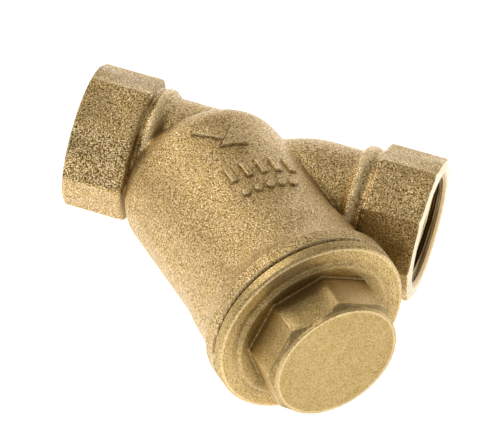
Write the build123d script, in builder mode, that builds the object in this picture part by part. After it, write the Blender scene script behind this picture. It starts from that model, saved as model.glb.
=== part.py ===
"""Brass Y strainer with G 3/8 female ports, a screwed cap and a removable screen.

Frame, in millimetres: the origin is the centre of the inlet port's end face, +X runs along the
pipe in the direction of flow, and +Z is square to the plane that holds the run and the branch.
The branch leaves the run at 45 degrees, towards +X and -Y.
"""

import os
from math import cos, radians, sin

from build123d import *

# Run: face to face length, and where the branch axis crosses the run.
FACE_TO_FACE = 56.0
CROSSING_X = 17.5
BRANCH_ANGLE = 45.0

# Ports: octagonal ends with G 3/8 parallel threads, plain at the thread's major diameter.
PORT_FLATS = 21.0
PORT_EDGE_ROUND = 0.8
PORT_INNER_ROUND = 0.8
PORT_CROWN_R = 11.0
PORT_CROWN_LENGTH = 6.0
INLET_END_LENGTH = 10.2
OUTLET_END_LENGTH = 9.7
PORT_THREAD_R = 16.66 / 2
PORT_THREAD_DEPTH = 10.5
PORT_CHAMFER_WIDTH = 0.8
PORT_CHAMFER_DEPTH = 0.45

# Necks between the octagonal ends and the barrel.
COLLAR_R = 10.35
COLLAR_LENGTH = 2.4
NECK_R = 9.25
NECK_ROUND = 0.9
NECK_END_X = 22.5
WAIST_R = 7.5
WAIST_X = 30.5
OUTLET_NECK_R = 9.1
OUTLET_NECK_X = 38.0
PASSAGE_R = 6.0
INLET_PASSAGE_END = 1.0
OUTLET_PASSAGE_END = 9.0

# Barrel: distances along the branch axis, measured from the crossing.
DOME_TOP = -2.05
DOME_FLAT_R = 1.5
DOME_SIDE_AT = 5.2
BARREL_R = 13.35
STEP_START = 24.0
STEP_END = 28.5
BARREL_LOW_R = 13.95
STEP_ROUND = 8.0
FLARE_START = 31.0
FLARE_START_R = 14.1
FLARE_MIDDLE = (33.6, 14.65)
RIM_START = 35.4
RIM_R = 15.55
RIM_ROUND = 0.25
MOUTH_AT = 37.7

# Screen seat and chamber inside the barrel.
SEAT_AT = 3.0
SEAT_BORE_R = 7.6
SOCKET_R = 8.75
SOCKET_DEPTH = 1.2
CAVITY_TOP = 0.2
CAVITY_ROUND = 2.0
CHAMBER_TOP_R = 11.0
CHAMBER_LOW_R = 11.3

# Cap thread M24 x 1.5, plain at its major diameter.
CAP_THREAD_R = 12.0
CAP_THREAD_START = 28.6
THREAD_CLEARANCE = 0.05
SPIGOT_END = 29.4
SPIGOT_LEAD = 0.6

# Gasket in a counterbore of the mouth.
GASKET_IN_R = 12.3
GASKET_OUT_R = 14.0
GASKET_THICKNESS = 1.2
GASKET_PLAY = 0.02
COUNTERBORE_R = 14.1

# Cap: flange, hub, octagonal head and round end pad.
FLANGE_GAP = 0.15
FLANGE_R = 15.5
FLANGE_THICKNESS = 1.85
FLANGE_BEVEL = 0.35
HUB_R = 12.6
HUB_RISE = 0.55
HEAD_FLATS = 20.2
HEAD_SHOULDER = 46.05
HEAD_END = 47.15
PAD_R = 10.05
PAD_END = 47.6
HEAD_EDGE_ROUND = 0.45
PAD_ROUND = 0.2
DIRT_POCKET_R = 7.6
DIRT_POCKET_END = 43.6

# Screen: a rolled sleeve whose sheet overlaps itself along one seam.
SCREEN_R = 8.6
SCREEN_SHEET = 0.4
SCREEN_PLAY = 0.08
SCREEN_LEDGE = 40.3
LAP_ANGLE = 22.0

# Perforation of the screen: staggered rows of round holes, with a plain strip along the lap.
HOLE_R = 0.6
HOLE_PITCH = 2.4
HOLES_AROUND = 18
HOLE_ANGLE = 360 / HOLES_AROUND
HOLE_MARGIN = 2.6

# Raised marks on the barrel, in distances along the branch and across it: a flow arrow that
# points along the run, a row of bars and a row of dots.
MARK_RISE = 0.3
MARK_FLOOR = 8.0
ARROW_AT = (9.0, -0.8)
ARROW_LENGTH = 8.6
ARROW_WIDTH = 4.8
ARROW_SHAFT = 1.8
ARROW_HEAD = 3.6
ARROW_SIDE = (ARROW_HEAD**2 + (ARROW_WIDTH / 2) ** 2) ** 0.5
BAR_ROW_AT = 17.3
BAR_SIZE = (3.0, 1.0)
BAR_ACROSS = (-3.4, -0.9, 1.6, 4.1, 6.6)
DOT_ROW_AT = 21.6
DOT_R = 0.65
DOT_ACROSS = (-3.0, -1.0, 1.0, 3.0, 5.0)

# Control arm of a Bezier curve that follows a quarter of an ellipse, as a share of its half axis.
QUARTER_ELLIPSE = 0.5523

CROSSING = Vector(CROSSING_X, 0, 0)
BRANCH_DIR = Vector(cos(radians(BRANCH_ANGLE)), -sin(radians(BRANCH_ANGLE)), 0)
BRANCH_AXIS = Axis(CROSSING, BRANCH_DIR)
# Plane of the branch's half section: local x is the distance from the crossing, local y the radius.
BRANCH_SECTION = Plane(origin=CROSSING, x_dir=BRANCH_DIR, z_dir=(0, 0, 1))


def branch_plane(distance):
    """Plane square to the branch at a distance from the crossing, facing out of the mouth."""
    return Plane(origin=CROSSING + BRANCH_DIR * distance, x_dir=(0, 0, 1), z_dir=BRANCH_DIR)


def octagon_corner(flats):
    """Corner radius of an octagon with the given size across its flats."""
    return flats / 2 / cos(radians(22.5))


def port_block(end_x, inner_x):
    """Octagonal block of one port, crowned at its end and rounded where it meets the neck."""
    inward = 1 if inner_x > end_x else -1
    with BuildPart() as block:
        with BuildSketch(Plane.YZ.offset(min(end_x, inner_x))):
            RegularPolygon(octagon_corner(PORT_FLATS), 8)
        extrude(amount=abs(inner_x - end_x))
        fillet(block.edges().filter_by(Axis.X), PORT_EDGE_ROUND)
        inner_face = block.faces().sort_by(Axis.X, reverse=inward < 0)[-1]
        fillet(inner_face.edges(), PORT_INNER_ROUND)
        with BuildSketch(Plane.XY):
            with BuildLine():
                Polyline(
                    (end_x, 0),
                    (end_x, PORT_CROWN_R),
                    (end_x + inward * PORT_CROWN_LENGTH, PORT_FLATS / 2),
                    (end_x + inward * PORT_CROWN_LENGTH, 0),
                    close=True,
                )
            make_face()
        revolve(axis=Axis.X)
    return block.part


def run_outside():
    """Round part of the run: a collar behind each octagonal end, and a neck with a waist."""
    inlet_collar_end = INLET_END_LENGTH + COLLAR_LENGTH
    outlet_collar_start = FACE_TO_FACE - OUTLET_END_LENGTH - COLLAR_LENGTH
    with BuildPart() as run:
        with BuildSketch(Plane.XY) as half:
            with BuildLine():
                Polyline(
                    (WAIST_X, WAIST_R),
                    (NECK_END_X, NECK_R),
                    (inlet_collar_end + NECK_ROUND, NECK_R),
                    (inlet_collar_end, COLLAR_R),
                    (INLET_END_LENGTH - PORT_INNER_ROUND, COLLAR_R),
                    (INLET_END_LENGTH - PORT_INNER_ROUND, 0),
                    (FACE_TO_FACE - OUTLET_END_LENGTH + PORT_INNER_ROUND, 0),
                    (FACE_TO_FACE - OUTLET_END_LENGTH + PORT_INNER_ROUND, COLLAR_R),
                    (outlet_collar_start, COLLAR_R),
                    (outlet_collar_start - NECK_ROUND, OUTLET_NECK_R),
                    (OUTLET_NECK_X, OUTLET_NECK_R),
                )
                Spline(
                    (OUTLET_NECK_X, OUTLET_NECK_R),
                    (WAIST_X, WAIST_R),
                    tangents=[(-1, 0), (-1, -0.5)],
                )
            make_face()
            collars = half.vertices().filter_by_position(Axis.Y, COLLAR_R, COLLAR_R)
            fillet(collars.sort_by(Axis.X)[1:3], NECK_ROUND / 2)
        revolve(axis=Axis.X)
    return run.part


def barrel_outside():
    """Barrel with a blunt domed top, flaring at its lower end to the rim that the cap closes."""
    reach_along = QUARTER_ELLIPSE * (DOME_SIDE_AT - DOME_TOP)
    reach_out = QUARTER_ELLIPSE * (BARREL_R - DOME_FLAT_R)
    with BuildPart() as barrel:
        with BuildSketch(BRANCH_SECTION) as half:
            with BuildLine():
                Bezier(
                    (DOME_TOP, DOME_FLAT_R),
                    (DOME_TOP, DOME_FLAT_R + reach_out),
                    (DOME_SIDE_AT - reach_along, BARREL_R),
                    (DOME_SIDE_AT, BARREL_R),
                )
                Polyline(
                    (DOME_SIDE_AT, BARREL_R),
                    (STEP_START, BARREL_R),
                    (STEP_END, BARREL_LOW_R),
                    (FLARE_START, FLARE_START_R),
                )
                ThreePointArc((FLARE_START, FLARE_START_R), FLARE_MIDDLE, (RIM_START, RIM_R))
                Polyline(
                    (RIM_START, RIM_R),
                    (MOUTH_AT - RIM_ROUND, RIM_R),
                    (MOUTH_AT, RIM_R - RIM_ROUND),
                    (MOUTH_AT, 0),
                    (DOME_TOP, 0),
                    (DOME_TOP, DOME_FLAT_R),
                )
            make_face()
            for point in ((STEP_START, BARREL_R), (STEP_END, BARREL_LOW_R)):
                fillet(half.vertices().sort_by_distance(point)[0], STEP_ROUND)
        revolve(axis=BRANCH_AXIS)
    return barrel.part


def port_hollow(end_x, inward, passage_end):
    """Thread bore of one port, with its chamfer, and the passage behind it."""
    thread_end = end_x + inward * PORT_THREAD_DEPTH
    with BuildPart() as hollow:
        with BuildSketch(Plane.XY):
            with BuildLine():
                Polyline(
                    (end_x, 0),
                    (end_x, PORT_THREAD_R + PORT_CHAMFER_WIDTH),
                    (end_x + inward * PORT_CHAMFER_DEPTH, PORT_THREAD_R),
                    (thread_end, PORT_THREAD_R),
                    (thread_end + inward * (PORT_THREAD_R - PASSAGE_R) / 2, PASSAGE_R),
                    (passage_end, PASSAGE_R),
                    (passage_end, 0),
                    close=True,
                )
            make_face()
        revolve(axis=Axis.X)
    return hollow.part


def branch_hollow():
    """Cavity over the seat, socket for the screen, chamber around it, thread and counterbore."""
    with BuildPart() as hollow:
        with BuildSketch(BRANCH_SECTION) as half:
            with BuildLine():
                Polyline(
                    (CAVITY_TOP, 0),
                    (CAVITY_TOP, SEAT_BORE_R),
                    (SEAT_AT, SEAT_BORE_R),
                    (SEAT_AT, SOCKET_R),
                    (SEAT_AT + SOCKET_DEPTH, SOCKET_R),
                    (SEAT_AT + SOCKET_DEPTH, CHAMBER_TOP_R),
                    (CAP_THREAD_START, CHAMBER_LOW_R),
                    (CAP_THREAD_START, CAP_THREAD_R),
                    (MOUTH_AT - GASKET_THICKNESS, CAP_THREAD_R),
                    (MOUTH_AT - GASKET_THICKNESS, COUNTERBORE_R),
                    (MOUTH_AT, COUNTERBORE_R),
                    (MOUTH_AT, 0),
                    close=True,
                )
            make_face()
            fillet(half.vertices().sort_by_distance((CAVITY_TOP, SEAT_BORE_R))[0], CAVITY_ROUND)
        revolve(axis=BRANCH_AXIS)
    return hollow.part


def raised_marks():
    """Flow arrow, bars and dots that stand a little proud of the barrel's upper side."""
    shaft_length = ARROW_LENGTH - ARROW_HEAD
    with BuildPart() as marks:
        with BuildSketch(BRANCH_SECTION.offset(MARK_FLOOR)):
            with Locations(Location((ARROW_AT[0], ARROW_AT[1], 0), (0, 0, BRANCH_ANGLE))):
                with Locations((-ARROW_HEAD / 2, 0)):
                    Rectangle(shaft_length, ARROW_SHAFT)
                with Locations((shaft_length / 2, 0)):
                    Triangle(a=ARROW_WIDTH, b=ARROW_SIDE, c=ARROW_SIDE, rotation=-90)
            with Locations([(BAR_ROW_AT, across) for across in BAR_ACROSS]):
                Rectangle(*BAR_SIZE)
            with Locations([(DOT_ROW_AT, across) for across in DOT_ACROSS]):
                Circle(DOT_R)
        extrude(amount=BARREL_R)
        with BuildSketch(branch_plane(DOME_SIDE_AT)):
            Circle(BARREL_R + MARK_RISE)
        extrude(amount=STEP_START - DOME_SIDE_AT, mode=Mode.INTERSECT)
    return marks.part


def make_body():
    """Forged and machined body."""
    with BuildPart() as body:
        add(run_outside())
        add(barrel_outside())
        add(raised_marks())
        add(port_block(0, INLET_END_LENGTH))
        add(port_block(FACE_TO_FACE, FACE_TO_FACE - OUTLET_END_LENGTH))
        add(port_hollow(0, 1, CROSSING_X + INLET_PASSAGE_END), mode=Mode.SUBTRACT)
        add(port_hollow(FACE_TO_FACE, -1, CROSSING_X + OUTLET_PASSAGE_END), mode=Mode.SUBTRACT)
        add(branch_hollow(), mode=Mode.SUBTRACT)
    body.part.label = "forged_body"
    return body.part


def make_cap():
    """Cap with a hollow threaded spigot, a flange and an octagonal head with a round end pad."""
    flange_back = MOUTH_AT + FLANGE_GAP
    flange_front = flange_back + FLANGE_THICKNESS
    spigot_r = CAP_THREAD_R - THREAD_CLEARANCE
    with BuildPart() as cap:
        with BuildSketch(branch_plane(flange_front)):
            RegularPolygon(octagon_corner(HEAD_FLATS), 8)
        extrude(amount=HEAD_END - flange_front)
        fillet(cap.edges().filter_by(BRANCH_AXIS), HEAD_EDGE_ROUND)
        with BuildSketch(BRANCH_SECTION):
            with BuildLine():
                Polyline(
                    (flange_front, 0),
                    (flange_front, FLANGE_R),
                    (HEAD_SHOULDER, octagon_corner(HEAD_FLATS)),
                    (HEAD_END, PAD_R),
                    (HEAD_END, 0),
                    close=True,
                )
            make_face()
        revolve(axis=BRANCH_AXIS, mode=Mode.INTERSECT)
        with BuildSketch(BRANCH_SECTION):
            with BuildLine():
                Polyline(
                    (SPIGOT_END, 0),
                    (SPIGOT_END, spigot_r - SPIGOT_LEAD),
                    (SPIGOT_END + SPIGOT_LEAD, spigot_r),
                    (flange_back, spigot_r),
                    (flange_back, FLANGE_R - RIM_ROUND),
                    (flange_back + RIM_ROUND, FLANGE_R),
                    (flange_front - FLANGE_BEVEL, FLANGE_R),
                    (flange_front, FLANGE_R - FLANGE_BEVEL),
                    (flange_front + HUB_RISE / 3, HUB_R),
                    (flange_front + HUB_RISE, HUB_R - HUB_RISE),
                    (flange_front + HUB_RISE, 0),
                    close=True,
                )
            make_face()
        revolve(axis=BRANCH_AXIS)
        with BuildSketch(branch_plane(HEAD_END)):
            Circle(PAD_R)
        extrude(amount=PAD_END - HEAD_END)
        pad_face = cap.faces().sort_by(BRANCH_AXIS)[-1]
        fillet(pad_face.edges(), PAD_ROUND)
        with BuildSketch(branch_plane(SPIGOT_END)):
            Circle(SOCKET_R)
        extrude(amount=SCREEN_LEDGE - SPIGOT_END, mode=Mode.SUBTRACT)
        with BuildSketch(branch_plane(SCREEN_LEDGE)):
            Circle(DIRT_POCKET_R)
        extrude(amount=DIRT_POCKET_END - SCREEN_LEDGE, mode=Mode.SUBTRACT)
    cap.part.label = "cap"
    return cap.part


def make_gasket():
    """Flat ring between the body's mouth and the cap's flange."""
    floor = MOUTH_AT - GASKET_THICKNESS
    thickness = GASKET_THICKNESS + FLANGE_GAP - 2 * GASKET_PLAY
    with BuildPart() as gasket:
        with BuildSketch(branch_plane(floor + GASKET_PLAY)):
            Circle(GASKET_OUT_R)
            Circle(GASKET_IN_R, mode=Mode.SUBTRACT)
        extrude(amount=thickness)
    gasket.part.label = "cap_gasket"
    return gasket.part


def make_screen():
    """Perforated sheet rolled into a sleeve, with its plain lap seam on the upper side."""
    start = SEAT_AT + SCREEN_PLAY
    length = SCREEN_LEDGE - SCREEN_PLAY - start
    rows = int((length - 2 * HOLE_MARGIN) / HOLE_PITCH) + 1
    lap_in_r = SCREEN_R - 2 * SCREEN_SHEET
    with BuildPart() as screen:
        with BuildSketch(branch_plane(start)):
            Circle(SCREEN_R)
            Circle(SCREEN_R - SCREEN_SHEET, mode=Mode.SUBTRACT)
            with BuildLine():
                outer = CenterArc((0, 0), SCREEN_R - SCREEN_SHEET, -LAP_ANGLE / 2, LAP_ANGLE)
                inner = CenterArc((0, 0), lap_in_r, -LAP_ANGLE / 2, LAP_ANGLE)
                Line(outer @ 0, inner @ 0)
                Line(outer @ 1, inner @ 1)
            make_face()
        extrude(amount=length)
        for row in range(rows):
            holes = HOLES_AROUND - 1 - row % 2
            first = HOLE_ANGLE * (1 + row % 2 / 2)
            with Locations(branch_plane(start + HOLE_MARGIN + row * HOLE_PITCH)):
                with PolarLocations(SCREEN_R, holes, first, holes * HOLE_ANGLE):
                    Cylinder(
                        HOLE_R,
                        4 * SCREEN_SHEET,
                        rotation=(0, 90, 0),
                        mode=Mode.SUBTRACT,
                    )
    screen.part.label = "screen"
    return screen.part


def main():
    os.makedirs("parts", exist_ok=True)
    for piece in (make_body(), make_cap(), make_gasket(), make_screen()):
        export_step(piece, f"parts/{piece.label}.step")


main()
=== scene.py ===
"""Visual model of a brass Y strainer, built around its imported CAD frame.

Shapes are worked out in millimetres, in the frame's axes, and turned into meshes in metres.
"""

import math

import bpy
import numpy as np
from mathutils import Matrix, Vector


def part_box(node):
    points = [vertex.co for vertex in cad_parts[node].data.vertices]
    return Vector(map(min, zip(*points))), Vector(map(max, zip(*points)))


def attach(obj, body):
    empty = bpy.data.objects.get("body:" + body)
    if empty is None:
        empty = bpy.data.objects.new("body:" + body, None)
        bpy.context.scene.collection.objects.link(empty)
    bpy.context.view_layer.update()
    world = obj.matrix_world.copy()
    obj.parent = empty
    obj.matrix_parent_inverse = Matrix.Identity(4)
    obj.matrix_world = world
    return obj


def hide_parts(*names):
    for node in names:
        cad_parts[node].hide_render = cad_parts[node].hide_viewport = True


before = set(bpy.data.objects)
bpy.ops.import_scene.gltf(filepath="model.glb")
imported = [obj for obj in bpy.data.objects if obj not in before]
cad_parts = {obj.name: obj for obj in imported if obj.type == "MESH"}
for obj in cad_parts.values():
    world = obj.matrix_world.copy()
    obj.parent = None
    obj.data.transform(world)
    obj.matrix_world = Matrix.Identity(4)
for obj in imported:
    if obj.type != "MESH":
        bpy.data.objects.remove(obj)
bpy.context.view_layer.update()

MM = 0.001

# Where the branch axis crosses the run, and the branch's direction and in-plane side direction.
CROSS_X = 17.5
HALF_ROOT = math.sqrt(0.5)
BRANCH_DIR = np.array((HALF_ROOT, -HALF_ROOT, 0.0))
BRANCH_SIDE = np.array((HALF_ROOT, HALF_ROOT, 0.0))
FACE_TO_FACE = 56.0

# Ports.
PORT_FLATS = 21.0
PORT_CORNER_ROUND = 0.75
PORT_INNER_ROUND = 0.9
PORT_CROWN_R = 11.0
PORT_CROWN_DROP = 0.5
PORT_CROWN_LENGTH = 6.0
PORT_CROWN_BLEND = 0.2
PORT_BLEND = 0.35
INLET_END_LENGTH = 10.2
OUTLET_END_LENGTH = 9.7
PORT_THREAD_R = 8.33
PORT_CHAMFER_WIDTH = 0.8
PORT_CHAMFER_DEPTH = 0.45
PORT_THREAD_DEPTH = 10.5
PORT_PITCH = 1.337
PORT_FACE_R = 10.3
CHAMFER_SLOPE = 0.35
CHAMFER_REACH_R = 14.0
PORT_MINOR_R = 7.475
PORT_CREST_HALF = 0.12
PORT_THREAD_ENDS = (0.8, 9.6)
DRILL_CONE_LENGTH = 1.165
PASSAGE_R = 6.0

# Barrel, with its marks and the flash line that its two forging dies leave.
BARREL_R = 13.35
BARREL_BLEND = 0.25
MARK_RISE = 0.42
MARK_SLOPE = 0.3
MARK_FOOT = 0.12
MARK_BASE = 0.35
MARK_GRID = 0.09
MARKS_ALONG = (4.0, 23.6)
MARKS_ACROSS = (-6.0, 8.4)
ARROW_ALONG = 9.0
ARROW_ACROSS = -0.8
BARS_ALONG = 17.3
BARS_ACROSS = (-3.4, -0.9, 1.6, 4.1, 6.6)
DOTS_ALONG = 21.6
DOTS_ACROSS = (-3.0, -1.0, 1.0, 3.0, 5.0)
DOT_R = 0.65
FLASH_RISE = 0.17
FLASH_WIDTH = 0.7
DIE_STEP = 0.08
DIE_STEP_WIDTH = 0.25
LIP_RISE = 0.22
LIP_WIDTH = 0.7

# Cap and its thread.
CAP_THREAD_R = 12.0
CAP_SPIGOT_R = 11.95
CAP_PITCH = 1.5
CAP_THREAD_DEPTH = 0.87
MOUTH_MINOR_R = 11.25
MOUTH_THREAD_START = 28.6
MOUTH_THREAD_END = 36.5
MOUTH_THREAD_ENDS = (28.7, 36.45)
MOUTH_AT = 37.7
COUNTERBORE_R = 14.1
SCREEN_SOCKET_R = 8.75
FLANGE_BACK = 37.85
FLANGE_FRONT = 39.7
HEAD_FLATS = 20.2
HEAD_CORNER_ROUND = 0.4
HEAD_BLEND = 0.25
PAD_R = 10.05
PAD_BACK = 44.5
PAD_FRONT = 47.6
PAD_EDGE_ROUND = 0.18

# Meshes: size of the contour's cells, and rings and rows of the internal threads.
BODY_CELL = 0.4
CAP_CELL = 0.26
SLEEVE_AROUND = 144
SLEEVE_ROWS_PER_PITCH = 14
SLEEVE_SUNK = 0.2

# How far along a vertex's normal shading looks for a groove or an edge.
GROOVE_REACH = 1.2
EDGE_REACH = 0.7

# Stage.
FLOOR_REACH = 3000.0
FLOOR_AT = -14.1
FLOOR_RISE_X = 0.0468
FLOOR_RISE_Y = 0.1502
LIGHT_TARGET = (28, -14, 0)
CAMERA_PLACE = (0.152685, -0.566469, 0.509279)
CAMERA_RIGHT = (0.94945, 0.29895, 0.09576)
CAMERA_UP = (-0.26870, 0.61627, 0.74028)
CAMERA_LENS = 374.1


# ---------------------------------------------------------------- shapes as signed distances


def polyline_distance(u, v, line):
    """Distance from points to an open line of straight pieces."""
    best = np.full(u.shape, 1e9)
    for (u0, v0), (u1, v1) in zip(line[:-1], line[1:]):
        du, dv = u1 - u0, v1 - v0
        t = np.clip(((u - u0) * du + (v - v0) * dv) / (du * du + dv * dv), 0, 1)
        best = np.minimum(best, (u - u0 - t * du) ** 2 + (v - v0 - t * dv) ** 2)
    return np.sqrt(best)


def inside_polygon(u, v, line):
    """True where a point is inside the closed polygon."""
    inside = np.zeros(u.shape, bool)
    for (u0, v0), (u1, v1) in zip(line, line[1:] + line[:1]):
        if v0 == v1:
            continue
        at = u0 + (v - v0) / (v1 - v0) * (u1 - u0)
        inside ^= ((v0 > v) != (v1 > v)) & (u < at)
    return inside


class Turned:
    """Signed distance to a turned solid, looked up in a table over its half section."""

    def __init__(self, line, step=0.05, margin=3.0):
        self.step = step
        self.start = min(u for u, _ in line) - margin
        across = int((max(u for u, _ in line) + margin - self.start) / step) + 2
        up = int((max(v for _, v in line) + margin) / step) + 2
        u, v = np.meshgrid(
            self.start + step * np.arange(across),
            step * (np.arange(up) + 0.01),
            indexing="ij",
        )
        distance = polyline_distance(u, v, line)
        self.table = np.where(inside_polygon(u, v, line), -distance, distance)

    def __call__(self, u, v):
        a = np.clip((u - self.start) / self.step, 0, self.table.shape[0] - 1.001)
        b = np.clip(v / self.step - 0.01, 0, self.table.shape[1] - 1.001)
        i = a.astype(int)
        j = b.astype(int)
        a = a - i
        b = b - j
        low = self.table[i, j] * (1 - a) + self.table[i + 1, j] * a
        high = self.table[i, j + 1] * (1 - a) + self.table[i + 1, j + 1] * a
        return low * (1 - b) + high * b


def bezier(p0, p1, p2, p3, count=16):
    """Points along a cubic Bezier curve."""
    t = np.linspace(0, 1, count + 1)[:, None]
    p0, p1, p2, p3 = (np.array(p, float) for p in (p0, p1, p2, p3))
    points = (1 - t) ** 3 * p0 + 3 * (1 - t) ** 2 * t * p1 + 3 * (1 - t) * t**2 * p2 + t**3 * p3
    return [tuple(map(float, p)) for p in points]


def blend_union(a, b, size):
    """Union of two solids with a fillet where their surfaces meet."""
    h = np.maximum(size - np.abs(a - b), 0) / size
    return np.minimum(a, b) - h * h * size / 4


def rounded_join(a, b, radius):
    """What two solids share, with their common edge rounded."""
    a = a + radius
    b = b + radius
    corner = np.hypot(np.maximum(a, 0), np.maximum(b, 0))
    return np.minimum(np.maximum(a, b), 0) + corner - radius


def octagon(y, z, flats, corner_round):
    """Signed distance to an octagon whose corners lie at multiples of 45 degrees."""
    apothem = flats / 2 - corner_round
    turn = (np.arctan2(z, y) % (math.pi / 4)) - math.pi / 8
    r = np.hypot(y, z)
    out = r * np.cos(turn) - apothem
    over = np.maximum(np.abs(r * np.sin(turn)) - apothem * math.tan(math.pi / 8), 0)
    return np.where(out > 0, np.hypot(out, over), out) - corner_round


def branch_coordinates(p):
    """Distance along the branch, side distance and height of points given as x, y, z columns."""
    x = p[:, 0] - CROSS_X
    return (x - p[:, 1]) * HALF_ROOT, (x + p[:, 1]) * HALF_ROOT, p[:, 2]


# ---------------------------------------------------------------- surface of a signed distance


def field_normals(field, points, reach=0.01):
    """Unit normals of the field's surface at some points."""
    normals = np.empty_like(points)
    for k in range(3):
        shifted = points.copy()
        shifted[:, k] += reach
        ahead = field(shifted)
        shifted[:, k] -= 2 * reach
        normals[:, k] = ahead - field(shifted)
    return normals / np.maximum(np.linalg.norm(normals, axis=1, keepdims=True), 1e-9)


def edge_crossings(field, values, low, step, k):
    """Where the grid's edges along one axis cross the surface: points, edges and their sense."""
    inside = values < 0
    start = [slice(None)] * 3
    stop = [slice(None)] * 3
    start[k] = slice(0, -1)
    stop[k] = slice(1, None)
    at = np.argwhere(inside[tuple(start)] != inside[tuple(stop)])
    after = at.copy()
    after[:, k] += 1
    value_0 = values[tuple(at.T)]
    value_1 = values[tuple(after.T)]
    t_low = np.zeros(len(at))
    t_high = np.ones(len(at))
    f_low, f_high = value_0.copy(), value_1.copy()
    t = value_0 / (value_0 - value_1)
    for _ in range(4):
        p = low + step * at
        p[:, k] += t * step
        f = field(p)
        same = (f < 0) == (value_0 < 0)
        t_low, f_low = np.where(same, t, t_low), np.where(same, f, f_low)
        t_high, f_high = np.where(same, t_high, t), np.where(same, f_high, f)
        t = np.clip(t_low + (t_high - t_low) * f_low / (f_low - f_high + 1e-12), t_low, t_high)
    p = low + step * at
    p[:, k] += t * step
    return p, at, value_0 < 0


def contour(field, low, high, step):
    """Dual contour of a field: one quad around each crossed grid edge, one vertex to a cell.

    A vertex goes where the tangent planes of its cell's crossings meet, so edges stay sharp.
    """
    low = np.array(low, float)
    count = [int(math.ceil((high[i] - low[i]) / step)) + 1 for i in range(3)]
    y, z = np.meshgrid(*(low[i] + step * np.arange(count[i]) for i in (1, 2)), indexing="ij")
    values = np.empty(count)
    for i in range(count[0]):
        x = np.full(y.size, low[0] + step * i)
        values[i] = field(np.stack([x, y.ravel(), z.ravel()], 1)).reshape(y.shape)
    points, cells, flips = [], [], []
    for k in range(3):
        p, at, starts_inside = edge_crossings(field, values, low, step, k)
        around = np.repeat(at[:, None, :], 4, axis=1)
        for n, (du, dv) in enumerate(((0, 0), (-1, 0), (-1, -1), (0, -1))):
            around[:, n, (k + 1) % 3] += du
            around[:, n, (k + 2) % 3] += dv
        points.append(p)
        cells.append(np.ravel_multi_index(tuple(np.moveaxis(around, 2, 0)), count))
        flips.append(starts_inside)
    points = np.concatenate(points)
    flips = np.concatenate(flips)
    used, quads = np.unique(np.concatenate(cells), return_inverse=True)
    quads = quads.reshape(-1, 4)
    owner = quads.ravel()
    total = len(used)
    weight = np.bincount(owner, minlength=total).astype(float)
    p = np.repeat(points, 4, axis=0)
    n = np.repeat(field_normals(field, points), 4, axis=0)
    middle = np.stack([np.bincount(owner, p[:, i], total) for i in range(3)], 1) / weight[:, None]
    reach = np.einsum("ij,ij->i", n, p - middle[owner])
    matrix = np.empty((total, 3, 3))
    right = np.empty((total, 3))
    for i in range(3):
        right[:, i] = np.bincount(owner, n[:, i] * reach, total)
        for j in range(3):
            matrix[:, i, j] = np.bincount(owner, n[:, i] * n[:, j], total)
    matrix += np.eye(3) * (0.03 * weight)[:, None, None]
    place = middle + np.linalg.solve(matrix, right[:, :, None])[:, :, 0]
    corner = low + step * np.stack(np.unravel_index(used, count), 1)
    place = np.clip(place, corner - 0.1 * step, corner + 1.1 * step)
    return place, np.where(flips[:, None], quads, quads[:, ::-1])


# ---------------------------------------------------------------- body


RUN_LINE = (
    [(9.9, 0), (9.9, 9.95)]
    + bezier((10.7, 9.95), (11.1, 10.4), (12.1, 10.5), (12.6, 9.95), 8)
    + [(13.4, 9.3), (22.5, 9.25)]
    + bezier((30.5, 7.5), (32.7, 8.25), (35.0, 9.1), (38.0, 9.1), 8)
    + [(42.9, 9.1)]
    + bezier((43.6, 9.85), (44.1, 10.45), (45.0, 10.45), (45.6, 9.95), 8)
    + [(46.4, 9.95), (46.4, 0)]
)
FLARE = bezier((31.0, 14.1), (33.0, 14.35), (34.2, 14.75), (35.4, 15.55), 10)
BARREL_LINE = (
    [(-2.05, 0)]
    + bezier((-2.05, 1.5), (-2.05, 8.04), (1.196, 13.35), (5.2, 13.35), 24)
    + bezier((22.5, 13.35), (25.5, 13.35), (27.0, 13.97), (30.0, 14.02), 10)
    + FLARE
    + [(37.45, 15.55), (MOUTH_AT, 15.3), (MOUTH_AT, 0)]
)


def port_hollow_line(passage_end):
    """Half section of a port's thread bore with its chamfer, and the passage behind it."""
    widest = PORT_THREAD_R + PORT_CHAMFER_WIDTH
    return [
        (-2, 0),
        (-2, widest + 2 * PORT_CHAMFER_WIDTH / PORT_CHAMFER_DEPTH),
        (PORT_CHAMFER_DEPTH, PORT_THREAD_R),
        (PORT_THREAD_DEPTH, PORT_THREAD_R),
        (PORT_THREAD_DEPTH + DRILL_CONE_LENGTH, PASSAGE_R),
        (passage_end, PASSAGE_R),
        (passage_end, 0),
    ]


BRANCH_HOLLOW_LINE = [
    (0.2, 0),
    (0.2, 5.6),
    (0.5, 6.6),
    (1.2, 7.3),
    (2.2, 7.6),
    (3.0, 7.6),
    (3.0, SCREEN_SOCKET_R),
    (4.2, SCREEN_SOCKET_R),
    (4.2, 11.0),
    (MOUTH_THREAD_START, 11.3),
    (MOUTH_THREAD_START, CAP_THREAD_R),
    (MOUTH_THREAD_END, CAP_THREAD_R),
    (MOUTH_THREAD_END, COUNTERBORE_R),
    (40.7, COUNTERBORE_R),
    (40.7, 0),
]

run_shape = Turned(RUN_LINE)
barrel_shape = Turned(BARREL_LINE)
inlet_hollow = Turned(port_hollow_line(18.5))
outlet_hollow = Turned(port_hollow_line(29.5))
branch_hollow = Turned(BRANCH_HOLLOW_LINE)


def box_distance(u, v, half_u, half_v):
    """Signed distance to a rectangle about the origin."""
    a = np.abs(u) - half_u
    b = np.abs(v) - half_v
    return np.hypot(np.maximum(a, 0), np.maximum(b, 0)) + np.minimum(np.maximum(a, b), 0)


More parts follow.
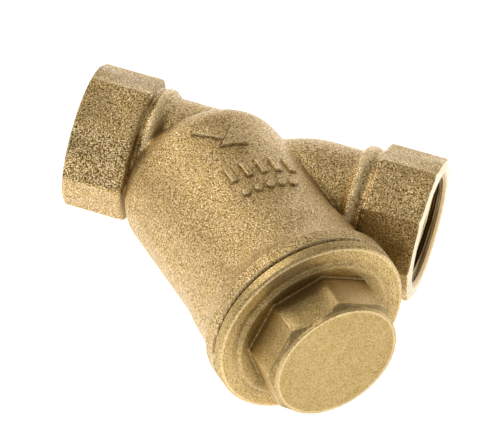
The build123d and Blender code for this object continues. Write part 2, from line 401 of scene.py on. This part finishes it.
def arrow_distance(u, v):
    """Signed distance to a flow arrow that points along +u, with its middle at the origin."""
    shaft = box_distance(u + 1.8, v, 2.5, 0.9)
    slope = math.atan2(2.4, 3.6)
    head = np.maximum(0.7 - u, (u - 4.3) * math.sin(slope) + np.abs(v) * math.cos(slope))
    return np.minimum(shaft, head)


def marks_distance(d, n):
    """Signed distance, over the barrel's upper side, to its arrow, bars and dots."""
    along, across = d - ARROW_ALONG, n - ARROW_ACROSS
    u = (along + across) * HALF_ROOT
    v = (across - along) * HALF_ROOT
    marks = arrow_distance(u, v)
    for across in BARS_ACROSS:
        marks = np.minimum(marks, box_distance(d - BARS_ALONG, n - across, 1.5, 0.5))
    for across in DOTS_ACROSS:
        marks = np.minimum(marks, np.hypot(d - DOTS_ALONG, n - across) - DOT_R)
    return marks


def smooth_step(t):
    """Rises smoothly from 0 to 1 as t goes from 0 to 1."""
    t = np.clip(t, 0, 1)
    return t * t * (3 - 2 * t)


def port_block(x, y, z, length):
    """One port's octagonal block, with its end face at x = 0 and its inner end at x = length."""
    side = octagon(y, z, PORT_FLATS, PORT_CORNER_ROUND)
    crown_r = PORT_CROWN_R - PORT_CROWN_DROP * smooth_step(x / PORT_CROWN_LENGTH)
    side = blend_union(side, np.hypot(y, z) - crown_r, PORT_CROWN_BLEND)
    return rounded_join(side, x - length, PORT_INNER_ROUND)


def body_outside(p):
    """Signed distance to the forging before it is machined."""
    x, y, z = p.T
    d, n, _ = branch_coordinates(p)
    run = run_shape(x, np.hypot(y, z))
    run = blend_union(run, port_block(x, y, z, INLET_END_LENGTH), PORT_BLEND)
    run = blend_union(run, port_block(FACE_TO_FACE - x, y, z, OUTLET_END_LENGTH), PORT_BLEND)
    flash = FLASH_RISE * np.exp(-np.abs(z) / FLASH_WIDTH)
    flash = flash + DIE_STEP * smooth_step(-z / DIE_STEP_WIDTH)
    flash = flash * smooth_step((MOUTH_AT - 2 - d) / 2)
    off_ports = smooth_step((x - 12) / 2) * smooth_step((FACE_TO_FACE - 12 - x) / 2)
    lip = LIP_RISE * np.exp(-((run / LIP_WIDTH) ** 2))
    barrel = barrel_shape(d, np.hypot(n, z)) - np.maximum(flash, lip)
    return blend_union(run - flash * off_ports, barrel, BARREL_BLEND)


def body_hollow(p):
    """Signed distance to all that is machined out of the forging, and what lies past its ends."""
    x, y, z = p.T
    d, n, _ = branch_coordinates(p)
    r = np.hypot(y, z)
    ports = np.minimum(inlet_hollow(x, r), outlet_hollow(FACE_TO_FACE - x, r))
    ends = np.minimum(x, FACE_TO_FACE - x)
    chamfer = (ends - (r - PORT_FACE_R) * CHAMFER_SLOPE) / math.hypot(1, CHAMFER_SLOPE)
    ends = np.where(r < CHAMFER_REACH_R, np.minimum(ends, chamfer), ends)
    return np.minimum(np.minimum(ports, ends), branch_hollow(d, np.hypot(n, z)))


def body_field(p):
    return np.maximum(body_outside(p), -body_hollow(p))


# ---------------------------------------------------------------- cap


CAP_LINE = [
    (29.4, 0),
    (29.4, 11.35),
    (30.0, CAP_SPIGOT_R),
    (MOUTH_THREAD_END, CAP_SPIGOT_R),
    (FLANGE_BACK, CAP_SPIGOT_R),
    (FLANGE_BACK, 15.25),
    (38.1, 15.5),
    (39.35, 15.5),
    (FLANGE_FRONT, 15.15),
    (39.82, 12.75),
    (40.25, 12.2),
    (40.28, 11.6),
    (40.25, 0),
]
HEAD_CONE_LINE = [
    (38.0, 0),
    (38.0, 14.0),
    (45.2, 11.6),
    (46.05, 10.93),
    (47.15, PAD_R),
    (47.15, 0),
]
POCKET_LINE = [
    (27.0, 0),
    (27.0, SCREEN_SOCKET_R),
    (40.3, SCREEN_SOCKET_R),
    (40.3, 7.6),
    (43.0, 7.6),
    (43.6, 7.0),
    (43.6, 0),
]
cap_turned = Turned(CAP_LINE)
head_cone = Turned(HEAD_CONE_LINE)
pocket = Turned(POCKET_LINE)


def thread_phase(along, turn, pitch):
    """Distance along the axis from the nearest crest of a right-hand thread."""
    phase = along / pitch - turn / (2 * math.pi)
    return np.abs(phase - np.round(phase)) * pitch


def cap_outside(p):
    """Signed distance to the cap before its pocket is bored."""
    d, n, z = branch_coordinates(p)
    r = np.hypot(n, z)
    off_crest = thread_phase(d, np.arctan2(z, n), CAP_PITCH)
    groove = np.clip((off_crest - CAP_PITCH / 16) * math.sqrt(3), 0, CAP_THREAD_DEPTH)
    groove = groove * smooth_step((36.6 - d) / 0.4)
    turned = cap_turned(d, r)
    turned = np.maximum(turned, np.where(d < 37.4, (r - CAP_SPIGOT_R + groove) * 0.7, -9))
    head = octagon(n, z, HEAD_FLATS, HEAD_CORNER_ROUND)
    head = np.maximum(head, head_cone(d, r))
    pad = rounded_join(r - PAD_R, d - PAD_FRONT, PAD_EDGE_ROUND)
    pad = np.maximum(pad, PAD_BACK - d)
    return np.minimum(blend_union(turned, head, HEAD_BLEND), pad)


def cap_hollow(p):
    """Signed distance to the cap's socket and dirt pocket."""
    d, n, z = branch_coordinates(p)
    return pocket(d, np.hypot(n, z))


def cap_field(p):
    return np.maximum(cap_outside(p), -cap_hollow(p))


# ---------------------------------------------------------------- meshes


def add_object(name, points, faces, body, sharp_angle=38):
    """New mesh object from points in millimetres, riding on a body."""
    mesh = bpy.data.meshes.new(name)
    mesh.from_pydata((np.asarray(points) * MM).tolist(), [], np.asarray(faces).tolist())
    mesh.update()
    mesh.shade_smooth()
    mesh.set_sharp_from_angle(angle=math.radians(sharp_angle))
    piece = bpy.data.objects.new(name, mesh)
    bpy.context.scene.collection.objects.link(piece)
    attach(piece, body)
    return piece


def from_branch(d, n, z):
    """Frame points, one to a row, from distances along the branch, to its side and up."""
    points = np.outer(d, BRANCH_DIR) + np.outer(n, BRANCH_SIDE)
    points[:, 0] += CROSS_X
    points[:, 2] = z
    return points


def set_attribute(mesh, name, values):
    """Stores one number for each vertex."""
    layer = mesh.attributes.new(name, "FLOAT", "POINT")
    layer.data.foreach_set("value", np.asarray(values, np.float32))


def shade_facts(piece, points, field, outside, hollow, reach, more_groove, more_edge):
    """Stores how deep in a corner, how hidden from the light and how near an edge each vertex is;
    the materials paint shade and highlight from these.

    Machined faces, whose middles are nearer to the hollow than to the outside, get slot 1.
    """
    normals = field_normals(field, points)
    # groove: how deep in a corner; it drives painted shade in grooves.
    groove = 1 - field(points + GROOVE_REACH * normals) / GROOVE_REACH
    # hidden: how far nearby surfaces block the light; it drives broad painted shade.
    hidden = 1 - field(points + reach * normals) / reach - np.maximum(more_edge, 0)
    # edge: how near a convex edge; it drives edge wear together with a painted highlight.
    edge = 1 + field(points - EDGE_REACH * normals) / EDGE_REACH
    set_attribute(piece.data, "groove", np.clip(groove + more_groove, 0, 1))
    set_attribute(piece.data, "hidden", np.clip(hidden, 0, 1))
    set_attribute(piece.data, "edge", np.clip(edge + more_edge, 0, 1))
    centers = np.empty(3 * len(piece.data.polygons))
    piece.data.polygons.foreach_get("center", centers)
    centers = centers.reshape(-1, 3) / MM
    machined = np.abs(hollow(centers)) < np.abs(outside(centers))
    piece.data.polygons.foreach_set("material_index", machined.astype(np.int32))


def contour_in_box(node, field, step):
    """Contour of a field over the space of one CAD node, held within that node's box.

    The margins are uneven so that no plane of the grid falls on a flat face.
    """
    low, high = (np.array(corner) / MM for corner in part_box(node))
    points, quads = contour(field, low - 1.13, high + 1.2, step)
    return np.clip(points, low, high), quads


def near_turn(turn, middle):
    """1 on the flat of an octagon that faces an angle in degrees, falling to 0 past its edges."""
    return np.exp(-(((turn - middle) / 20) ** 4))


def make_body():
    """Body of the strainer: forged outside, machined bores and faces."""
    points, quads = contour_in_box("forged_body", body_field, BODY_CELL)
    piece = add_object("body_forging", points, quads, "body")
    x, y, z = points.T
    d, n, _ = branch_coordinates(points)
    # Each mask below says how strongly one place gets painted shade (groove) or a painted
    # highlight (edge).
    on_barrel = (z > 0) & (np.abs(np.hypot(n, z) - BARREL_R) < 0.3) & (d > 3)
    # Painted shadow in a narrow band round the barrel's raised marks.
    by_marks = np.where(on_barrel, 0.95 * np.exp(-((marks_distance(d, n) / 0.4) ** 2)), 0)
    # Painted highlight on the flared band below the rim.
    lip = 0.12 * smooth_step((d - 34.6) / 0.8) * (np.hypot(n, z) > 14.8)
    # Painted shade on the body's rim where the cap's flange meets it.
    joint = 0.9 * smooth_step((d - 37.3) / 0.2) * (np.hypot(n, z) > 14.3)
    run = run_shape(x, np.hypot(y, z))
    barrel = barrel_shape(d, np.hypot(n, z))
    # Painted shade on the ports' mouth chamfers.
    by_end = np.minimum(x, FACE_TO_FACE - x) < PORT_CHAMFER_DEPTH + 0.2
    mouth_r = PORT_THREAD_R + PORT_CHAMFER_WIDTH
    mouths = by_end * smooth_step((mouth_r + 0.1 - np.hypot(y, z)) / 0.4)
    # Painted highlight on the barrel's edge where it meets the run.
    crease = np.exp(-((run / 0.7) ** 2)) * (run > barrel + 0.3) * (np.abs(barrel) < 0.6)
    # Painted shade along the seam where the barrel meets the run.
    seam = np.exp(-(((run - barrel) / 0.5) ** 2)) * (run < 0.6) * (barrel < 0.6)
    turn = np.degrees(np.arctan2(z, y))
    on_outlet = x > FACE_TO_FACE - OUTLET_END_LENGTH
    # Painted shade on the ports' upper flats, stronger on the inlet.
    top = near_turn(turn, 67.5) * np.where(x < INLET_END_LENGTH, 0.46, 0.33 * on_outlet)
    # Painted highlight on the collar beads between the ports and the barrel.
    at_collar = (np.abs(x - 11.8) < 1.2) | (np.abs(x - 44.4) < 1.2)
    ridge = at_collar * (run < 0.3) * smooth_step((np.hypot(y, z) - 9.95) / 0.4)
    more_groove = by_marks + 0.15 * seam + 0.7 * mouths + joint + top
    more_edge = lip + 0.8 * crease + 0.7 * ridge
    shade_facts(
        piece, points, body_field, body_outside, body_hollow, 4.0, more_groove, more_edge
    )
    set_attribute(piece.data, "coarse", smooth_step((barrel - 0.4) / 3))
    rough = smooth_step((turn - 132) / 6) * smooth_step((179 - turn) / 3) * (x < INLET_END_LENGTH)
    set_attribute(piece.data, "rough", rough)
    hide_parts("forged_body")
    return piece


def make_cap():
    """Cap with its male thread, flange, hub ring, octagonal head and round pad."""
    points, quads = contour_in_box("cap", cap_field, CAP_CELL)
    piece = add_object("cap_turned", points, quads, "cap")
    d, n, z = branch_coordinates(points)
    turn = np.degrees(np.arctan2(z, n))
    on_flats = (d > FLANGE_FRONT) * (d < 46.4)
    # Painted shade on the head's flats at 112.5 and 157.5 degrees, which the flange shades from
    # the lamps.
    darkened = on_flats * (0.7 * near_turn(turn, 112.5) + 0.36 * near_turn(turn, 157.5))
    # Painted highlight on the head's flat at 67.5 degrees.
    facet_highlight = 0.34 * near_turn(turn, 67.5) * (d > 40.6) * (d < 46.4)
    r = np.hypot(n, z)
    # Painted highlight along the flange's front edge.
    flange_edge = 0.3 * np.exp(-(((r - 15.1) / 0.2) ** 2)) * (np.abs(d - 39.75) < 0.2)
    # flange_side and pad_side hold back the edge brightening on the flange's and the pad's sides.
    flange_side = 0.5 * (r > 15.2) * (np.abs(d - 38.7) < 0.85)
    # Painted shade round the hub ring, which also holds back the edge brightening there.
    hub = (np.abs(r - 12.5) < 1.0) * (np.abs(d - 40.0) < 0.45)
    # Painted shade on the flange's back face where it meets the body.
    joint = 0.9 * (r > 14.4) * (np.abs(d - 37.9) < 0.15)
    pad_side = 0.3 * (d > 46.9) * (r > 9.9)
    more_edge = facet_highlight + flange_edge - pad_side - flange_side - 0.35 * hub
    # Painted shade round the pad's foot.
    by_pad = 0.6 * (np.abs(d - 46.7) < 0.48) * (r > 10.1)
    more_groove = darkened + by_pad + joint + 0.3 * hub
    shade_facts(piece, points, cap_field, cap_outside, cap_hollow, 6.0, more_groove, more_edge)
    set_attribute(piece.data, "coarse", smooth_step((40.6 - d) / 0.4))
    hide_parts("cap")
    return piece


def make_marks():
    """Raised marks on the barrel: islands with sloping sides and feet sunk in its surface."""
    along = np.arange(*MARKS_ALONG, MARK_GRID)
    d, n = np.meshgrid(along, np.arange(*MARKS_ACROSS, MARK_GRID), indexing="ij")
    distance = marks_distance(d, n)
    near = distance < MARK_SLOPE
    cells = near[:-1, :-1] & near[1:, :-1] & near[1:, 1:] & near[:-1, 1:]
    across = d.shape[1]
    i, j = np.nonzero(cells)
    corner = i * across + j
    top = np.stack([corner, corner + across, corner + across + 1, corner + 1], 1)
    risen = smooth_step(0.5 - distance / MARK_SLOPE)
    height = (MARK_RISE + MARK_FOOT) * risen - MARK_FOOT
    levels = []
    for rise in (height, np.full_like(height, -MARK_BASE)):
        out = (BARREL_R + rise) / BARREL_R
        z = np.sqrt(BARREL_R**2 - n**2)
        levels.append(from_branch(d.ravel(), (n * out).ravel(), (z * out).ravel()))
    points = np.concatenate(levels)
    below = top[:, ::-1] + d.size
    sides = []
    for a, b in ((0, 1), (1, 2), (2, 3), (3, 0)):
        upper = np.stack([top[:, b], top[:, a]], 1)
        sides.append(np.concatenate([upper, upper[:, ::-1] + d.size], axis=1))
    sides = np.concatenate(sides)
    edges = np.sort(sides[:, :2], axis=1)
    _, first, times = np.unique(edges, axis=0, return_index=True, return_counts=True)
    faces = np.concatenate([top, below, sides[first[times == 1]]])
    used, faces = np.unique(faces, return_inverse=True)
    faces = faces.reshape(-1, 4)
    piece = add_object("barrel_marks", points[used], faces, "body", 75)
    # Painted shade at the marks' feet (groove) and a painted highlight on their upper rims (edge).
    foot = np.tile(1 - risen.ravel(), 2)[used]
    rim = np.tile(1 - np.abs(distance.ravel() / MARK_SLOPE + 0.55) / 0.6, 2)[used]
    set_attribute(piece.data, "groove", foot)
    set_attribute(piece.data, "edge", np.clip(rim, 0, 1))
    return piece


def ring_faces(rows, around):
    """Quads of a closed tube of rings, whose last ring joins the first."""
    i, j = np.meshgrid(np.arange(rows), np.arange(around), indexing="ij")
    a = i * around + j
    b = i * around + (j + 1) % around
    c = ((i + 1) % rows) * around + (j + 1) % around
    d = ((i + 1) % rows) * around + j
    return np.stack([a, b, c, d], -1).reshape(-1, 4)


def thread_sleeve(name, ends, minor_r, major_r, pitch, crest_half, place):
    """Internal right-hand thread: ridges that stand in from a sleeve sunk into the bore's wall."""
    start, end = ends
    along = np.arange(start, end + 1e-6, pitch / SLEEVE_ROWS_PER_PITCH)
    turn = np.linspace(0, 2 * math.pi, SLEEVE_AROUND, endpoint=False)
    s, a = np.meshgrid(along, turn, indexing="ij")
    slope = (thread_phase(s + pitch / 2, a, pitch) - crest_half) / (pitch / 2 - 2 * crest_half)
    slope = np.clip(slope, 0, 1)
    r = minor_r + (major_r - minor_r) * (0.6 * slope + 0.4 * smooth_step(slope))
    to_end = np.minimum(s - start, end - s)
    r = np.minimum(np.maximum(r, major_r - to_end), major_r - 0.015)
    wall = np.full((2, SLEEVE_AROUND), major_r + SLEEVE_SUNK)
    back = np.repeat([[along[-1]], [along[0]]], SLEEVE_AROUND, axis=1)
    s = np.concatenate([s, back])
    r = np.concatenate([r, wall])
    a = np.concatenate([a, a[:2]])
    points = place(s.ravel(), (r * np.cos(a)).ravel(), (r * np.sin(a)).ravel())
    faces = ring_faces(len(s), SLEEVE_AROUND)[:, ::-1]
    piece = add_object(name, points, faces, "body", 60)
    # Painted shade: the thread's roots are painted dark and its crests stay light.
    into_root = (r.ravel() - minor_r) / (major_r - minor_r)
    set_attribute(piece.data, "groove", np.clip(into_root, 0, 1))
    return piece


def make_threads():
    """Internal threads of both ports and of the mouth."""

    def from_inlet(s, u, v):
        return np.stack([s, u, v], 1)

    def from_outlet(s, u, v):
        return np.stack([FACE_TO_FACE - s, u, -v], 1)

    port = (PORT_MINOR_R, PORT_THREAD_R, PORT_PITCH, PORT_CREST_HALF)
    mouth = (MOUTH_MINOR_R, CAP_THREAD_R, CAP_PITCH, CAP_PITCH / 8)
    return [
        thread_sleeve("inlet_thread", PORT_THREAD_ENDS, *port, from_inlet),
        thread_sleeve("outlet_thread", PORT_THREAD_ENDS, *port, from_outlet),
        thread_sleeve("mouth_thread", MOUTH_THREAD_ENDS, *mouth, from_branch),
    ]


# ---------------------------------------------------------------- materials


class Nodes:
    """Short-hand for building a material's node tree."""

    def __init__(self, name):
        self.material = bpy.data.materials.new(name)
        self.material.use_nodes = True
        self.tree = self.material.node_tree
        self.shader = self.tree.nodes["Principled BSDF"]
        self.where = self.tree.nodes.new("ShaderNodeTexCoord").outputs["Object"]

    def link(self, source, target):
        self.tree.links.new(source, target)

    def put(self, socket, value):
        if hasattr(value, "is_linked"):
            self.link(value, socket)
        else:
            socket.default_value = value

    def noise(self, size_mm, detail=2.0, rough=0.5, stretch=None):
        node = self.tree.nodes.new("ShaderNodeTexNoise")
        where = self.where
        if stretch is not None:
            mapping = self.tree.nodes.new("ShaderNodeMapping")
            mapping.inputs["Scale"].default_value = stretch
            self.link(where, mapping.inputs["Vector"])
            where = mapping.outputs["Vector"]
        self.link(where, node.inputs["Vector"])
        node.inputs["Scale"].default_value = 1 / (size_mm * MM)
        node.inputs["Detail"].default_value = detail
        node.inputs["Roughness"].default_value = rough
        return node.outputs["Fac"]

    def ramp(self, value, low, high, out_low=0.0, out_high=1.0):
        node = self.tree.nodes.new("ShaderNodeMapRange")
        node.interpolation_type = "SMOOTHSTEP"
        self.put(node.inputs["Value"], value)
        node.inputs["From Min"].default_value = low
        node.inputs["From Max"].default_value = high
        node.inputs["To Min"].default_value = out_low
        node.inputs["To Max"].default_value = out_high
        return node.outputs["Result"]

    def math(self, operation, a, b):
        node = self.tree.nodes.new("ShaderNodeMath")
        node.operation = operation
        self.put(node.inputs[0], a)
        self.put(node.inputs[1], b)
        return node.outputs[0]

    def mix(self, factor, a, b):
        node = self.tree.nodes.new("ShaderNodeMix")
        node.data_type = "RGBA"
        self.put(node.inputs[0], factor)
        self.put(node.inputs[6], a if hasattr(a, "is_linked") else (*a, 1.0))
        self.put(node.inputs[7], b if hasattr(b, "is_linked") else (*b, 1.0))
        return node.outputs[2]

    def attribute(self, name):
        node = self.tree.nodes.new("ShaderNodeAttribute")
        node.attribute_name = name
        return node.outputs["Fac"]

    def bump(self, height, distance_mm, normal=None):
        node = self.tree.nodes.new("ShaderNodeBump")
        node.inputs["Strength"].default_value = 1.0
        node.inputs["Distance"].default_value = distance_mm * MM
        self.link(height, node.inputs["Height"])
        if normal is not None:
            self.link(normal, node.inputs["Normal"])
        return node.outputs["Normal"]


SPARKLE_COLOR = (1.0, 0.80, 0.47)
PIT_COLOR = (0.13, 0.075, 0.025)
# Painted shade where nearby surfaces hide the light.
OCCLUSION_SHADE_COLOR = (0.24, 0.15, 0.03)
# Painted shade in grooves and corners.
CREVICE_SHADE_COLOR = (0.16, 0.10, 0.035)
# Edge wear together with a painted highlight.
WEAR_AND_HIGHLIGHT_COLOR = (0.98, 0.76, 0.42)
WORN_PIT_COLOR = (0.2, 0.12, 0.045)


def blasted_brass(name, tan_color, grain_mm, contrast, depth, smoothest, wear_and_highlight_range):
    """Shot-blasted brass: speckled grain, with painted shade in grooves and hollows, and edges
    made bright by wear and a painted highlight.

    wear is the range of the edge attribute over which the metal turns bright.
    """
    m = Nodes(name)
    broad = m.noise(9.0, 3.0)
    patches = m.noise(2.0, 3.0, 0.6)
    grain = m.noise(grain_mm, 1.5, 0.6)
    fine = m.noise(grain_mm * 0.45, 1.0)
    tan = m.mix(m.ramp(broad, 0.35, 0.65), tuple(0.9 * c for c in tan_color), tan_color)
    darkened = tuple(0.82 * c for c in tan_color[:2]) + (0.6 * tan_color[2],)
    tan = m.mix(m.ramp(patches, 0.42, 0.62, 0.0, 0.5), tan, darkened)
    strength = m.ramp(m.attribute("coarse"), 0.0, 1.0, contrast, min(1.0, 1.7 * contrast))
    swing = m.math("SUBTRACT", grain, 0.5)
    swing = m.math("MULTIPLY", swing, m.ramp(m.attribute("rough"), 0.0, 1.0, 1.0, 1.8))
    swing = m.math("SUBTRACT", swing, m.ramp(m.attribute("rough"), 0.0, 1.0, 0.0, 0.02))
    sparkle = m.math("MULTIPLY", m.ramp(swing, 0.03, 0.14), strength)
    pits = m.math("MULTIPLY", m.ramp(swing, -0.03, -0.14), strength)
    light = m.mix(sparkle, tan, SPARKLE_COLOR)
    dark = m.mix(pits, light, PIT_COLOR)
    # Painted shade: where the surface is hidden from the light, the colour turns dark brown.
    shaded = m.mix(m.ramp(m.attribute("hidden"), 0.15, 0.9, 0.0, 0.62), dark, OCCLUSION_SHADE_COLOR)
    # Painted shade: grooves, corners and the shading masks darken the colour.
    crevice_shaded = m.mix(m.ramp(m.attribute("groove"), 0.2, 0.7, 0.0, 0.5), shaded, CREVICE_SHADE_COLOR)
    # Edges turn bright, partly as wear and partly as a painted highlight.
    wear_and_highlight = m.mix(m.ramp(m.attribute("edge"), *wear_and_highlight_range, 0.0, 0.65), crevice_shaded, WEAR_AND_HIGHLIGHT_COLOR)
    pitted = m.mix(m.math("MULTIPLY", pits, 0.45), wear_and_highlight, WORN_PIT_COLOR)
    m.link(pitted, m.shader.inputs["Base Color"])
    m.shader.inputs["Metallic"].default_value = 1.0
    gloss = m.ramp(m.math("ADD", grain, fine), 0.8, 1.2, smoothest + 0.14, smoothest)
    m.link(gloss, m.shader.inputs["Roughness"])
    coarse = m.bump(patches, 0.10)
    middle = m.bump(grain, depth, coarse)
    m.link(m.bump(fine, depth * 0.35, middle), m.shader.inputs["Normal"])
    return m.material


def machined_brass(name, light, dark, groove_shade):
    """Turned brass: smooth, with fine tool lines, slight staining and painted shade in grooves."""
    m = Nodes(name)
    stains = m.noise(3.0, 3.0)
    grain = m.noise(0.3, 2.0)
    tool = m.noise(0.12, 1.0, stretch=(6.0, 1.0, 1.0))
    base = m.mix(m.ramp(stains, 0.4, 0.65), light, tuple(0.9 * c for c in light))
    bright = tuple(min(1, 1.2 * c) for c in light)
    speckled = m.mix(m.ramp(grain, 0.5, 0.7, 0.0, 0.25), base, bright)
    # Painted shade: where the groove attribute is high, the colour darkens towards dark.
    groove_shaded = m.mix(m.ramp(m.attribute("groove"), 0.1, 0.9, 0.0, groove_shade), speckled, dark)
    m.link(groove_shaded, m.shader.inputs["Base Color"])
    m.shader.inputs["Metallic"].default_value = 1.0
    m.link(m.ramp(grain, 0.3, 0.7, 0.38, 0.26), m.shader.inputs["Roughness"])
    m.link(m.bump(tool, 0.006, m.bump(grain, 0.012)), m.shader.inputs["Normal"])
    return m.material


def gasket_rubber():
    """Black rubber with a faint moulding grain."""
    m = Nodes("gasket_rubber")
    grain = m.noise(0.25, 3.0)
    broad = m.noise(3.0, 2.0)
    color = m.mix(m.ramp(broad, 0.35, 0.65), (0.018, 0.018, 0.019), (0.035, 0.034, 0.033))
    m.link(color, m.shader.inputs["Base Color"])
    m.link(m.ramp(grain, 0.3, 0.7, 0.55, 0.8), m.shader.inputs["Roughness"])
    m.link(m.bump(grain, 0.01), m.shader.inputs["Normal"])
    return m.material


def screen_steel():
    """Rolled stainless sheet with rolling lines along the sleeve."""
    m = Nodes("screen_steel")
    lines = m.noise(0.2, 2.0, stretch=(1.0, 1.0, 4.0))
    broad = m.noise(2.5, 2.0)
    color = m.mix(m.ramp(broad, 0.35, 0.65), (0.52, 0.51, 0.49), (0.62, 0.61, 0.59))
    m.link(color, m.shader.inputs["Base Color"])
    m.shader.inputs["Metallic"].default_value = 1.0
    m.link(m.ramp(lines, 0.3, 0.7, 0.28, 0.45), m.shader.inputs["Roughness"])
    m.link(m.bump(lines, 0.008), m.shader.inputs["Normal"])
    return m.material


def paint(piece, *materials):
    """Gives a piece its materials, in slot order, in place of those it had."""
    slots = piece.data.materials
    while len(slots) < len(materials):
        slots.append(None)
    for i, material in enumerate(materials):
        slots[i] = material


# ---------------------------------------------------------------- stage


def floor_height(x, y):
    """Height of the floor in millimetres.

    It is 0.17 mm below the plane that the barrel, rim and outlet port all touch.
    """
    return FLOOR_AT + FLOOR_RISE_X * x + FLOOR_RISE_Y * y


def make_floor():
    """Plain pale floor, tilted in the frame as the strainer tips when it lies at rest."""
    signs = ((-1, -1), (1, -1), (1, 1), (-1, 1))
    corners = [(x * FLOOR_REACH, y * FLOOR_REACH) for x, y in signs]
    points = [(x, y, floor_height(x, y)) for x, y in corners]
    mesh = bpy.data.meshes.new("floor")
    mesh.from_pydata([tuple(c * MM for c in p) for p in points], [], [(0, 1, 2, 3)])
    floor = bpy.data.objects.new("floor", mesh)
    bpy.context.scene.collection.objects.link(floor)
    m = Nodes("floor_white")
    m.link(
        m.mix(m.ramp(m.noise(400.0, 2.0), 0.3, 0.7), (0.93, 0.93, 0.93), (0.96, 0.96, 0.96)),
        m.shader.inputs["Base Color"],
    )
    m.shader.inputs["Roughness"].default_value = 0.9
    m.shader.inputs["Emission Color"].default_value = (0.96, 0.98, 1.0, 1)
    m.shader.inputs["Emission Strength"].default_value = 0.82
    mesh.materials.append(m.material)


def add_light(name, place, size, power, color=(1, 1, 1)):
    """Square soft light aimed at the strainer, with its place and size in millimetres."""
    data = bpy.data.lights.new(name, "AREA")
    data.shape = "SQUARE"
    data.size = size * MM
    data.energy = power
    data.color = color
    light = bpy.data.objects.new(name, data)
    bpy.context.scene.collection.objects.link(light)
    light.location = Vector(place) * MM
    aim = (Vector(LIGHT_TARGET) - Vector(place)).normalized()
    light.rotation_euler = aim.to_track_quat("-Z", "Y").to_euler()


def make_lights():
    """Soft boxes up to the left and behind, a small lamp for sparkle, and a dim surround."""
    add_light("left_box", (-450, 90, 420), 420, 1.1)
    add_light("back_box", (-60, 700, 90), 600, 0.52, (1.0, 0.97, 0.95))
    add_light("sparkle", (-420, -60, 520), 60, 0.25)
    world = bpy.data.worlds.new("surround")
    world.use_nodes = True
    background = world.node_tree.nodes["Background"]
    background.inputs["Color"].default_value = (1.0, 0.98, 0.95, 1)
    background.inputs["Strength"].default_value = 0.36
    bpy.context.scene.world = world


def make_camera():
    """Camera that looks down on the strainer from the side of its barrel."""
    data = bpy.data.cameras.new("camera")
    data.sensor_fit = "HORIZONTAL"
    data.sensor_width = 36.0
    data.lens = CAMERA_LENS
    data.clip_start = 0.05
    data.clip_end = 20.0
    camera = bpy.data.objects.new("camera", data)
    bpy.context.scene.collection.objects.link(camera)
    right = Vector(CAMERA_RIGHT)
    back = right.cross(Vector(CAMERA_UP)).normalized()
    up = back.cross(right).normalized()
    turn = Matrix((right, up, back)).transposed().to_4x4()
    camera.matrix_world = Matrix.Translation(CAMERA_PLACE) @ turn
    bpy.context.scene.camera = camera


body = make_body()
cap = make_cap()
threads = make_threads()
marks = make_marks()
forged = blasted_brass(
    "forged_brass",
    tan_color=(0.74, 0.495, 0.20),
    grain_mm=0.24,
    contrast=0.78,
    depth=0.15,
    smoothest=0.24,
    wear_and_highlight_range=(0.3, 0.75),
)
cap_skin = blasted_brass(
    "cap_brass",
    tan_color=(0.79, 0.56, 0.24),
    grain_mm=0.22,
    contrast=0.34,
    depth=0.055,
    smoothest=0.38,
    wear_and_highlight_range=(0.14, 0.42),
)
machined = machined_brass(
    "machined_brass", light=(0.93, 0.80, 0.56), dark=(0.46, 0.25, 0.06), groove_shade=0.9
)
# The thread's near-black dark colour is painted shade in its roots.
threaded = machined_brass(
    "threaded_brass", light=(1.0, 0.78, 0.40), dark=(0.13, 0.07, 0.02), groove_shade=1.0
)
paint(body, forged, machined)
paint(cap, cap_skin, machined)
paint(marks, forged)
for thread in threads:
    paint(thread, threaded)
paint(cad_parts["cap_gasket"], gasket_rubber())
paint(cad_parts["screen"], screen_steel())
make_floor()
make_lights()
make_camera()
bpy.context.scene.view_settings.view_transform = "Standard"
